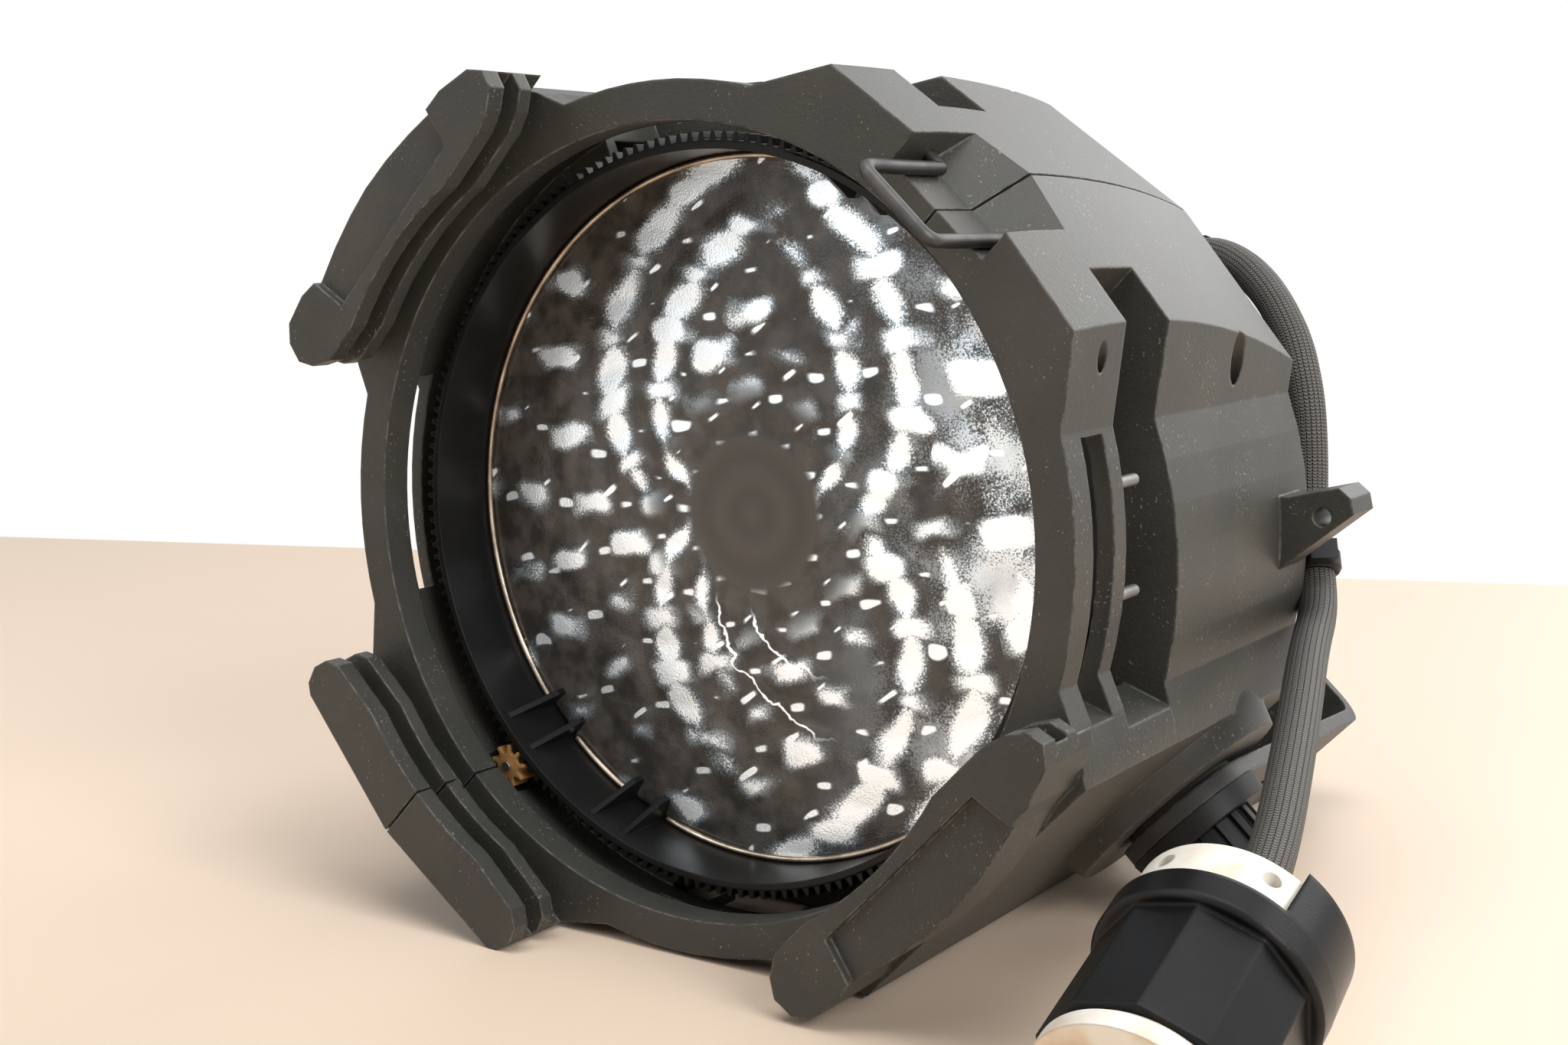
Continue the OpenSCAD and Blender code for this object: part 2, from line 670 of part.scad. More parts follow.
module pivot_bolt_left() color([0.3, 0.3, 0.3]) posed() mirror([1, 0, 0]) at_pivot() {
    rod_x(flank_x - 15.5, disc_x + 10 - flank_x + 15.5, bolt_r);
    rod_x(flank_x - 19, 4.6 - seat, 8);
}

module bolt_nut() color([0.3, 0.3, 0.3]) posed() mirror([1, 0, 0]) at_pivot() difference() {
    union() {
        rod_x(disc_x + 2 * seat, 1.6, 11);
        translate([disc_x + 1.6, 0, 0]) rotate([0, 90, 0]) cylinder(h = 7, r = 9.2, $fn = 6);
    }
    rod_x(100, 60, bolt_r + 0.02);
}

module tilt_disc() color([0.1, 0.1, 0.1]) posed() at_pivot() difference() {
    rod_x(disc_x + seat, disc_t - 2 * seat, disc_r, disc_r - 0.8);
    rod_x(100, 60, bolt_r + 0.05);
}

// Ribbed hand knob on the tilt bolt
module tilt_knob() color([0.1, 0.1, 0.1]) posed() at_pivot() difference() {
    union() {
        rod_x(disc_x + disc_t + seat, knob_t - 3, 11.2);
        rod_x(disc_x + disc_t + knob_t - 3, 3, 11.2, 8.5);
        for (i = [0 : 15]) rotate([i * 22.5, 0, 0])
            translate([disc_x + disc_t + seat, -1, 10.5]) cube([knob_t - 3.5, 2, 1.9]);
    }
    rod_x(disc_x, disc_t + knob_t - 4.5, bolt_r + 0.05);
}

// ---- Lead and plug, drawn as they lie on the floor ----

// The lead's middle line from the gland to the plug, X, Y and Z above the floor
lead_points = [[31.7, 171, 141.5], [34.7, 171, 145.5], [37.7, 170.9, 149.4], [41.6, 170.2, 152.8], [46.3,
    168.8, 155.4], [51.8, 166.7, 157], [58.2, 163.6, 157.4], [65, 159.9, 156.1], [71.6,
    156.1, 153], [77.9, 152.2, 148.5], [83.2, 148.7, 142.8], [87.4, 145.8, 137], [90.3,
    143.4, 131], [92.5, 141.6, 124.6], [94, 140.4, 117.8], [94.9, 139.4, 110.8], [95.6,
    138.5, 104], [96.3, 137.2, 97.4], [97.4, 136.1, 89.6], [99.3, 133.9, 81.5], [102.1, 129,
    74.6], [105.2, 119.7, 69.9], [108.9, 106.1, 67.1], [113.8, 89.4, 64.6], [119.6, 70.6,
    61.3], [125.4, 51.1, 56.9], [130.7, 32.3, 51.8], [135, 15.7, 46.6], [137.6, 2.2, 41.9],
    [138.6, -7.4, 38.25], [138.6, -13.5, 35.9], [138.6, -19.1, 33.8]];
// The upper stretch keeps its place against the rear of the barrel
cord_route = [for (p = lead_points)
    [p[0], p[1] + (neck_end - 158) * min(1, max(0, (p[1] + 19.1) / 90)), p[2]]];

function unit(v) = v / norm(v);
// Smooth points between the route's own, by a spline through them
function spline(p0, p1, p2, p3, t) = 0.5 * (2 * p1 + (p2 - p0) * t
    + (2 * p0 - 5 * p1 + 4 * p2 - p3) * t * t + (3 * p1 - p0 - 3 * p2 + p3) * t * t * t);

module tube_along(route, r, sides = 10) {
    n = len(route);
    dir = [for (i = [0 : n - 1]) i == 0 ? unit(route[1] - route[0])
        : i == n - 1 ? unit(route[n - 1] - route[n - 2]) : unit(route[i + 1] - route[i - 1])];
    across = [for (d = dir) unit(cross(d, [0.31, -0.2, 0.93]))];
    points = [for (i = [0 : n - 1]) let (up = cross(dir[i], across[i]))
        for (k = [0 : sides - 1]) let (a = k * 360 / sides)
            route[i] + r * (cos(a) * across[i] + sin(a) * up)];
    walls = [for (i = [0 : n - 2], k = [0 : sides - 1]) let (j = (k + 1) % sides)
        each [[i * sides + k, i * sides + j, (i + 1) * sides + j],
              [i * sides + k, (i + 1) * sides + j, (i + 1) * sides + k]]];
    first = [[for (k = [sides - 1 : -1 : 0]) k]];
    last = [[for (k = [0 : sides - 1]) (n - 1) * sides + k]];
    polyhedron(points = points, faces = concat(walls, first, last), convexity = 6);
}

module floor_placed() {
    translate([rest_x, rest_y, 0]) children();
}

module cord() color([0.16, 0.15, 0.14]) floor_placed() tube_along(cord_route, lead_d / 2 - 0.2);

module cord_gland() color([0.2, 0.2, 0.2]) posed() rotate([0, gland_a, 0]) translate([0, gland_y, 0])
    difference() {
        union() {
            translate([0, 0, drum_r - 6]) cylinder(h = 10, r = gland_hole_r - 0.05);
            translate([0, 0, drum_r + 3 + seat]) cylinder(h = 3, r = 9.6, $fn = 6);
            translate([0, 0, drum_r + 6]) cylinder(h = 4.4, r1 = 9, r2 = 7);
        }
        translate([0, 0, drum_r - 7]) cylinder(h = 30, r = lead_d / 2 + 0.15);
    }

module along_vector(v) {
    rotate([0, acos(v[2] / norm(v)), atan2(v[1], v[0])]) children();
}

tie_at = 19;

module cable_tie() color([0.05, 0.05, 0.05]) floor_placed()
    translate(cord_route[tie_at]) along_vector(cord_route[tie_at + 1] - cord_route[tie_at - 1]) {
        difference() {
            rotate_extrude() translate([lead_d / 2 + 0.2, 0]) polygon([[0, -3], [0.9, -3],
                [1.5, -2], [1.5, 2], [0.9, 3], [0, 3]]);
        }
        translate([-lead_d / 2 - 5.6, -3.4, -2.6]) cube([4.6, 6.8, 5.2]);
    }

plug_centre = [138.6, -28.86, 29.99];

// Plug axis: local +Z runs from the lead towards the blades
module at_plug() {
    floor_placed() translate(plug_centre) rotate([90 + plug_pitch, 0, 0]) children();
}

clamp_len = 12;
clamp_r = 20.3;
clamp_cut = 14.5;
collar_w = 7;
grip_r = 20.3;
facet_count = 10;
body_len = 27.3;
face_t = 5.5;

// Two nylon jaws that grip the lead, let into the black rear ring of the body
module plug_clamp() color([0.92, 0.9, 0.85]) at_plug() difference() {
    translate([0, 0, -collar_w - clamp_len]) intersection() {
        union() {
            cylinder(h = 2, r1 = clamp_r - 2.2, r2 = clamp_r);
            translate([0, 0, 2]) cylinder(h = clamp_len - 2 - seat, r = clamp_r);
        }
        translate([-40, -40, -1]) cube([40 + clamp_cut - 0.15, 80, clamp_len + 2]);
    }
    translate([0, 0, -collar_w - clamp_len - 1]) cylinder(h = clamp_len + 2, r = lead_d / 2 + 0.1);
    // the split between its two jaws
    translate([-40, -0.4, -collar_w - clamp_len - 1]) cube([30, 0.8, clamp_len + 2]);
    for (side = [-1, 1]) translate([side * 10, 0, -collar_w - clamp_len + 6]) rotate([90, 0, 0])
        cylinder(h = 60, r = 1.65, center = true);
}

module plug_clamp_screws() color([0.7, 0.7, 0.7]) at_plug()
    for (side = [-1, 1]) translate([side * 10, 0, -collar_w - clamp_len + 6]) rotate([90, 0, 0])
        cylinder(h = 19, r = 1.6, center = true);

module plug_body() color([0.06, 0.06, 0.06]) at_plug() difference() {
    union() {
        translate([0, 0, -collar_w]) cylinder(h = collar_w - 0.8, r = collar_r);
        translate([0, 0, -0.8]) cylinder(h = 0.8, r1 = collar_r, r2 = collar_r - 0.8);
        // the ring stands on beside the flat of the clamp
        intersection() {
            translate([0, 0, -collar_w - clamp_len]) cylinder(h = clamp_len + 1, r1 = collar_r - 0.6, r2 = collar_r);
            translate([clamp_cut + 0.15, -40, -60]) cube([40, 80, 60]);
        }
        // grip with flats
        rotate([0, 0, 84.6]) cylinder(h = body_len, r = grip_r, $fn = facet_count);
    }
    translate([0, 0, -collar_w - 1]) cylinder(h = collar_w + 3, r = lead_d / 2 + 0.1);
}

module plug_face() color([0.9, 0.88, 0.82]) at_plug() difference() {
    translate([0, 0, body_len + seat]) union() {
        cylinder(h = 1.6, r1 = grip_r - 2.2, r2 = grip_r - 0.8);
        translate([0, 0, 1.6]) cylinder(h = face_t - 1.6, r = grip_r - 0.8);
    }
    for (i = [0 : 2]) rotate([0, 0, 60 + i * 120]) translate([14.4, 0, 0])
        cylinder(h = 60, r = 1.85);
}

blade_r = 8.4;

module plug_blades() color([0.8, 0.66, 0.38]) at_plug()
    for (i = [0 : 2]) rotate([0, 0, i * 120 - 28])
        translate([0, 0, body_len + face_t + 2 * seat]) rotate_extrude(angle = 56)
            translate([blade_r - 0.8, 0]) square([1.6, 13]);

module plug_screws() color([0.7, 0.7, 0.7]) at_plug()
    for (i = [0 : 2]) rotate([0, 0, 60 + i * 120]) translate([14.4, 0, body_len + seat])
        difference() {
            cylinder(h = face_t - 1.4, r = 1.8);
            translate([-3, -0.35, face_t - 2.2]) cube([6, 0.7, 2]);
        }

right_housing();
left_housing();
housing_screws();
guide_pins();
bail_latch();
lens_ring();
lens_glass();
lens_wires();
pinion();
pinion_shaft();
reflector();
lamp_bulb();
lamp_filament();
lamp_base();
lamp_socket();
rear_cap();
cap_screws();
lock_screw();
yoke();
pivot_bolt_right();
pivot_bolt_left();
bolt_nut();
pivot_washers();
tilt_disc();
tilt_knob();
cord_gland();
cord();
cable_tie();
plug_clamp();
plug_clamp_screws();
plug_body();
plug_face();
plug_blades();
plug_screws();
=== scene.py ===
# %% [markdown]
# # A stage light, resting on one corner
#
# The light is a cast barrel with a wide stippled lens. It lies on the floor, rolled onto a
# corner of its lower slots, with its yoke and its plug touching the floor too. The CAD frame
# already holds every rigid piece at its real size, so this script only gives each piece its
# finish, and rebuilds the few forms that are about looks: the pressed lens, the dimpled
# reflector, and the braided lead with its boot.

# %% Load the frame
import math

import bmesh
import bpy
from mathutils import Matrix, Vector


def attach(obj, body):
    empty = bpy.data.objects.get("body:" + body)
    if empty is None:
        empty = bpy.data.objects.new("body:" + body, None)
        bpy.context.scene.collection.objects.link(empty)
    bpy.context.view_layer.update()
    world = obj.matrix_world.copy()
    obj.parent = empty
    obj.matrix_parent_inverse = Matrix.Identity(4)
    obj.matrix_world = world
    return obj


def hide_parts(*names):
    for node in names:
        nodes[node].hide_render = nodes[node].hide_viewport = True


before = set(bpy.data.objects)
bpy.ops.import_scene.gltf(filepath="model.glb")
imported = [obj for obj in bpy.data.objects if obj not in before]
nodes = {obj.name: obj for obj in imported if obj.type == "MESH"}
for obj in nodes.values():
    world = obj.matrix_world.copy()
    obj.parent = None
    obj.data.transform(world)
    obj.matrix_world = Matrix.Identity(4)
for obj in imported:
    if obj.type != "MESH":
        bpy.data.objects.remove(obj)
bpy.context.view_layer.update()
scene = bpy.context.scene
MM = 0.001
print("nodes in the frame:", len(nodes))

# %% [markdown]
# The barrel's own axes are simpler to think in than the floor's: Y runs along the lens axis,
# Z towards the wire latch, and the front ring's face is at Y = 0. The rest pose is a roll
# about Y and a shift, which is one matrix. Pieces are drawn in the barrel's axes and then
# laid down by it.

# %% The rest pose
ROLL = math.radians(43.7)
LENS_AXIS = Vector((-8.33, -94.5, 99.04)) * MM
LAY = Matrix.Translation(LENS_AXIS) @ Matrix.Rotation(ROLL, 4, "Y")


def barrel(x, y, z):
    """A point in the barrel's axes, in millimetres, as a place on the floor's axes."""
    return LAY @ Vector((x * MM, y * MM, z * MM))


print("lens axis at", [round(c, 4) for c in LENS_AXIS])

# %% [markdown]
# ## Camera
#
# A normal lens, close by and 17 cm above the floor, looks down a little from the front and
# the right. The camera is set by a place and two directions instead of by angles, because
# these came from one fit of the whole view.

# %% Camera
EYE = barrel(151.1, -358.4, 236.6)
AHEAD = Vector((-0.5556, 0.8190, -0.1434))
UPWARD = Vector((-0.0748, 0.1226, 0.9896))


def add_camera(eye, ahead, upward, focal_mm):
    data = bpy.data.cameras.new("camera")
    data.sensor_width = 36.0
    data.lens = focal_mm
    data.clip_start = 0.01
    back = -ahead.normalized()
    right = upward.cross(back).normalized()
    up = back.cross(right)
    turn = Matrix((right, up, back)).transposed().to_4x4()
    camera = bpy.data.objects.new("camera", data)
    camera.matrix_world = Matrix.Translation(eye) @ turn
    scene.collection.objects.link(camera)
    scene.camera = camera
    return camera


add_camera(EYE, AHEAD, UPWARD, 46.86)
print("camera at", [round(c, 3) for c in EYE])

# %% [markdown]
# ## Writing finishes as sums
#
# A finish is easier to read as arithmetic than as a drawing of nodes. `Value` wraps one
# socket, and its operators add Math nodes, so `0.3 + 0.2 * grain` builds the small graph
# that it describes. `Finish` starts a material, and its `node` method adds anything else.


# %% Shader helpers
class Value:
    """A number that a shader works out, with Python's arithmetic."""

    def __init__(self, finish, socket):
        self.finish, self.socket = finish, socket

    def math(self, operation, *terms):
        return self.finish.node("ShaderNodeMath", {"operation": operation}, dict(enumerate(terms)))

    def __add__(self, other):
        return self.math("ADD", self, other)

    def __sub__(self, other):
        return self.math("SUBTRACT", self, other)

    def __rsub__(self, other):
        return self.math("SUBTRACT", other, self)

    def __mul__(self, other):
        return self.math("MULTIPLY", self, other)

    def __pow__(self, other):
        return self.math("POWER", self, other)

    __radd__ = __add__
    __rmul__ = __mul__

    def fract(self):
        return self.math("FRACT", self)

    def absolute(self):
        return self.math("ABSOLUTE", self)

    def sine(self):
        return self.math("SINE", self)

    def cosine(self):
        return self.math("COSINE", self)

    def between(self, low, high):
        """0 below low, 1 above high, and a smooth step between them."""
        return self.finish.node("ShaderNodeMapRange", {"interpolation_type": "SMOOTHSTEP"},
                                {"Value": self, "From Min": low, "From Max": high})

    def above(self, other):
        return self.math("MAXIMUM", self, other)


class Finish:
    """A material with one Principled shader, and a short way to add nodes."""

    def __init__(self, name, color=(0.8, 0.8, 0.8), roughness=0.5, metallic=0.0, **fixed):
        self.material = bpy.data.materials.new(name)
        self.material.use_nodes = True
        self.tree = self.material.node_tree
        self.tree.nodes.clear()
        self.output = self.tree.nodes.new("ShaderNodeOutputMaterial")
        self.shader = self.tree.nodes.new("ShaderNodeBsdfPrincipled")
        self.tree.links.new(self.shader.outputs[0], self.output.inputs[0])
        self.set("Base Color", (*color, 1.0))
        self.set("Roughness", roughness)
        self.set("Metallic", metallic)
        for key, value in fixed.items():
            self.set(key.replace("_", " "), value)

    def node(self, kind, settings=None, inputs=None, output=0):
        node = self.tree.nodes.new(kind)
        for key, value in (settings or {}).items():
            setattr(node, key, value)
        for key, value in (inputs or {}).items():
            self._feed(node.inputs[key], value)
        return Value(self, node.outputs[output])

    def _feed(self, socket, value):
        if isinstance(value, Value):
            self.tree.links.new(value.socket, socket)
        else:
            socket.default_value = value

    def set(self, name, value):
        self._feed(self.shader.inputs[name], value)

    def axes(self, where):
        """The X, Y and Z of a vector, as three numbers."""
        split = self.node("ShaderNodeSeparateXYZ", {}, {0: where}).socket.node
        return [Value(self, split.outputs[i]) for i in range(3)]

    def place(self, scale=1.0):
        """Object coordinates in metres, scaled."""
        where = self.node("ShaderNodeTexCoord", output="Object")
        return self.node("ShaderNodeVectorMath", {"operation": "SCALE"}, {0: where, "Scale": scale})

    def noise(self, size, detail=3.0, rough=0.5, where=None):
        """Cloudy noise with features of about size metres."""
        return self.node("ShaderNodeTexNoise", {},
                         {"Vector": where or self.place(), "Scale": 1.0 / size,
                          "Detail": detail, "Roughness": rough})

    def blend(self, share, low, high):
        """A colour between two others."""
        pick = {"data_type": "RGBA"}
        low = (*low, 1.0) if isinstance(low, tuple) else low
        high = (*high, 1.0) if isinstance(high, tuple) else high
        return self.node("ShaderNodeMix", pick, {0: share, 6: low, 7: high}, output=2)

    def bump(self, height, depth, normal=None):
        inputs = {"Height": height, "Distance": depth, "Strength": 1.0}
        if normal is not None:
            inputs["Normal"] = normal
        return self.node("ShaderNodeBump", {}, inputs)

    def rounded(self, radius):
        """A normal that reads as if the edges were rounded by radius."""
        return self.node("ShaderNodeBevel", {"samples": 6}, {"Radius": radius})

    def edge(self, rounded, low=0.02, high=0.25):
        """1 along the edges that rounded softens, 0 on flat faces."""
        flat = self.node("ShaderNodeNewGeometry", output="Normal")
        along = self.node("ShaderNodeVectorMath", {"operation": "DOT_PRODUCT"},
                          {0: flat, 1: rounded}, output="Value")
        return (1.0 - along).between(low, high)


def paint(finish, *names):
    for name in names:
        data = nodes[name].data
        data.materials.clear()
        data.materials.append(finish.material)


print("helpers ready")

# %% [markdown]
# ## Powder coat
#
# The castings wear a satin black powder coat. Its surface is a fine orange peel, under a
# tenth of a millimetre deep, so it shows in how the light spreads and not in the outline. Years
# of handling leave three marks: a dusty haze on broad faces, edges rubbed to grey, and pale
# specks of grit. The edges are found by comparing the true normal with a rounded one.


# %% Powder coat
def powder_coat(name, base, dust, roughness, rub=1.0, radius=0.0009):
    coat = Finish(name, base, roughness, Specular_IOR_Level=0.35)
    peel = coat.noise(0.0011, 2.0)
    grain = coat.noise(0.00035, 1.0)
    haze = coat.noise(0.035, 4.0, 0.6)
    soft = coat.rounded(radius)
    worn = coat.edge(soft) * coat.noise(0.004, 3.0, 0.7).between(0.40, 0.62) * rub
    speck = coat.noise(0.0007, 0.0).between(0.73, 0.77) * coat.noise(0.012, 2.0).between(0.48, 0.6)
    tone = coat.blend(haze.between(0.35, 0.75), base, dust)
    tone = coat.blend(grain.between(0.45, 0.7) * 0.25, tone, tuple(c * 1.5 for c in dust))
    rubbed = coat.blend((worn * 0.6).above(speck * 0.5), tone, (0.30, 0.29, 0.26))
    coat.set("Base Color", rubbed)
    coat.set("Roughness", roughness + 0.10 * haze - 0.08 * worn)
    coat.set("Normal", coat.bump(peel + 0.4 * grain, 0.00007, soft))
    return coat


BARREL_BLACK = powder_coat("barrel_powder_coat", (0.036, 0.036, 0.031), (0.056, 0.054, 0.046), 0.40)
STRAP_BLACK = powder_coat("strap_powder_coat", (0.024, 0.024, 0.022), (0.040, 0.038, 0.034), 0.40)
paint(BARREL_BLACK, "right_housing", "left_housing", "rear_cap")
paint(STRAP_BLACK, "yoke")
print("powder coat on the castings and the strap")

# %% [markdown]
# ## Steel, brass and plastics
#
# The small pieces are told apart by colour and roughness. Drawn wire and turned screws would show
# fine rings or streaks, but here every metal gets only an even fine grain in its bump and a cloudy
# bloom, which is marked on zinc plate, and moulded plastic has a soft even sheen with a trace of
# grain.


# %% Metals
def metal(name, color, roughness, bloom=0.15, grain=0.0004):
    plate = Finish(name, color, roughness, 1.0)
    cloud = plate.noise(0.006, 3.0)
    fine = plate.noise(grain, 1.0)
    dull = tuple(c * (1 - bloom) for c in color)
    plate.set("Base Color", plate.blend(cloud.between(0.3, 0.7), color, dull))
    plate.set("Roughness", roughness + 0.12 * cloud)
    plate.set("Normal", plate.bump(fine, 0.00002, plate.rounded(0.0002)))
    return plate


BRIGHT_STEEL = metal("bright_steel", (0.62, 0.61, 0.58), 0.26)
DULL_STEEL = metal("dull_steel", (0.26, 0.26, 0.25), 0.45)
ZINC = metal("zinc_plate", (0.66, 0.69, 0.66), 0.34, 0.25)
SPRING_WIRE = metal("spring_wire", (0.56, 0.47, 0.37), 0.24, 0.5)
BLACK_OXIDE = metal("black_oxide", (0.09, 0.088, 0.085), 0.42, 0.3)
TUNGSTEN = metal("tungsten", (0.35, 0.35, 0.36), 0.35)
LAMP_ALUMINIUM = metal("lamp_aluminium", (0.66, 0.67, 0.69), 0.38)
BLADE_BRASS = metal("blade_brass", (0.72, 0.56, 0.30), 0.30, 0.35)
paint(DULL_STEEL, "guide_pins")
paint(BRIGHT_STEEL, "pinion_shaft", "cap_screws", "plug_clamp_screws", "plug_screws")
paint(ZINC, "lock_screw")
paint(SPRING_WIRE, "lens_wires")
paint(BLACK_OXIDE, "housing_screws", "bail_latch", "pivot_bolt_right", "pivot_bolt_left", "bolt_nut")
paint(TUNGSTEN, "lamp_filament")
paint(LAMP_ALUMINIUM, "lamp_base")
paint(BLADE_BRASS, "plug_blades")


# %% Plastics and ceramic
def moulded(name, color, roughness, stain=None, radius=0.0004):
    plastic = Finish(name, color, roughness, Specular_IOR_Level=0.22)
    cloud = plastic.noise(0.012, 3.0)
    fine = plastic.noise(0.0005, 1.0)
    plastic.set("Base Color", plastic.blend(cloud.between(0.45, 0.75), color,
                                            stain or tuple(c * 1.35 for c in color)))
    plastic.set("Roughness", roughness + 0.1 * cloud)
    plastic.set("Normal", plastic.bump(fine, 0.00002, plastic.rounded(radius)))
    return plastic


RING_BLACK = moulded("ring_black", (0.010, 0.010, 0.010), 0.30)
KNOB_BLACK = moulded("knob_black", (0.006, 0.006, 0.006), 0.42)
TIE_BLACK = moulded("tie_black", (0.012, 0.012, 0.012), 0.35)
PINION_BROWN = moulded("pinion_brown", (0.36, 0.19, 0.07), 0.45)
WASHER = moulded("washer_fibre", (0.06, 0.055, 0.05), 0.7)
CERAMIC = moulded("ceramic", (0.78, 0.75, 0.68), 0.5)
PLUG_WHITE = moulded("plug_white", (0.90, 0.87, 0.79), 0.30, (0.76, 0.62, 0.47), 0.0008)
PLUG_BLACK = moulded("plug_black", (0.005, 0.005, 0.0055), 0.26, None, 0.0012)
paint(RING_BLACK, "lens_ring")
paint(KNOB_BLACK, "tilt_knob", "tilt_disc", "cord_gland")
paint(TIE_BLACK, "cable_tie")
paint(PINION_BROWN, "pinion")
paint(WASHER, "pivot_washers")
paint(CERAMIC, "lamp_socket")
paint(PLUG_WHITE, "plug_clamp", "plug_face")
paint(PLUG_BLACK, "plug_body")
print("metals and plastics done")

# %% [markdown]
# ## Lens
#
# The lens is one piece of pressed glass. Its face carries diamond pillows, which lie where
# two families of twelve spirals cross, and a plain disc with faint moulding rings in the
# middle. A stipple over the whole face blurs the lamp into a smooth wash. The same two
# spirals, as sums, shape the relief of the mesh and, with a little wander, lay out the
# finish. The mesh is a profile spun round the lens axis, with its front points raised by
# the height of the pillows.

# %% The lens and its pillows
LENS_R, LENS_T, LENS_Y, DOME = 83.6, 3.98, 32.0, 1.6
LENS_RINGS, LENS_SECTORS = 84, 288
PILLOWS = 12
ROW = 9.6
PLAIN_R = 21.0
PILLOW_HEIGHT, MOULD_RING_HEIGHT, MOULD_RING_PITCH = 0.42, 0.05, 9


def spiral_pair(radius, angle):
    """Where a point lies across the two families of spirals, one unit per pillow."""
    turn = PILLOWS * (angle - ROLL) / math.tau
    return turn + radius / (2 * ROW), turn - radius / (2 * ROW)


def relief(radius, angle):
    """Height of the pressed pillows in millimetres."""
    rise, fall = spiral_pair(radius, angle)
    pillow = PILLOW_HEIGHT * abs(math.sin(math.pi * rise) * math.sin(math.pi * fall))
    rings = MOULD_RING_HEIGHT * math.cos(math.tau * radius / MOULD_RING_PITCH)
    share = min(1.0, max(0.0, (radius - PLAIN_R) / 3)) * min(1.0, (LENS_R - radius) / 2)
    return share * pillow + (1 - share) * rings


def make_lens():
    bm = bmesh.new()
    outline = [(0, LENS_Y + LENS_T), (LENS_R - 0.4, LENS_Y + LENS_T), (LENS_R, LENS_Y + LENS_T - 0.4)]
    for i in range(LENS_RINGS + 1):
        radius = LENS_R * (1 - i / LENS_RINGS)
        outline.append((radius, LENS_Y - DOME * (1 - (radius / LENS_R) ** 2)))
    chain = [bm.verts.new((x * MM, y * MM, 0)) for x, y in outline]
    edges = [bm.edges.new(pair) for pair in zip(chain, chain[1:])]
    bmesh.ops.spin(bm, geom=chain + edges, cent=(0, 0, 0), axis=(0, 1, 0),
                   angle=math.tau, steps=LENS_SECTORS, use_merge=True)
    bmesh.ops.remove_doubles(bm, verts=bm.verts[:], dist=1e-6)
    bmesh.ops.recalc_face_normals(bm, faces=bm.faces[:])
    for vert in bm.verts:
        if vert.co.y < (LENS_Y + 0.5) * MM:
            radius = math.hypot(vert.co.x, vert.co.z) / MM
            vert.co.y -= relief(radius, math.atan2(vert.co.z, vert.co.x)) * MM
    for face in bm.faces:
        face.smooth = True
    return bm


def finish_piece(bm, name, body, finish, slot, *replaced):
    """Turns a bmesh in the barrel's axes into a piece that rides on a body."""
    bm.transform(LAY)
    mesh = bpy.data.meshes.new(name)
    bm.to_mesh(mesh)
    bm.free()
    mesh.materials.append(finish.material)
    piece = bpy.data.objects.new(name, mesh)
    scene.collection.objects.link(piece)
    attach(piece, body)
    if replaced:
        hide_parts(*replaced)
    print(name, len(mesh.polygons), "faces")
    return piece


# %% [markdown]
# Through a pressed lens, a bright bowl breaks up into streaks, patches and glints, which shift as the
# eye moves. This finish doesn't work them out. It paints one fixed pattern of them, placed to suit
# the camera above, so from other sides they stay where they are instead of shifting. The bright parts
# are metallic, and they also give off a faint light of their own, which glass over an unlit lamp
# doesn't do, to come out white.
#
# `rise` and `fall` count the rows of the two spiral families, as in the relief. `streak` paints a
# bright reflection along one row, `patch` a rounded bar of reflection at one place in each pillow,
# and `crease` a thin bright line between two rows. `lit_side` marks the right-hand side, where `wash`
# and more streaks and patches paint extra light. Fine noise added before each step breaks the edges
# up into a painted sparkle of the stipple.


# %% The lens's finish
BAR_LEAN, GLINT_LEAN = 10, 37
UNLIT_GLOW = 0.22


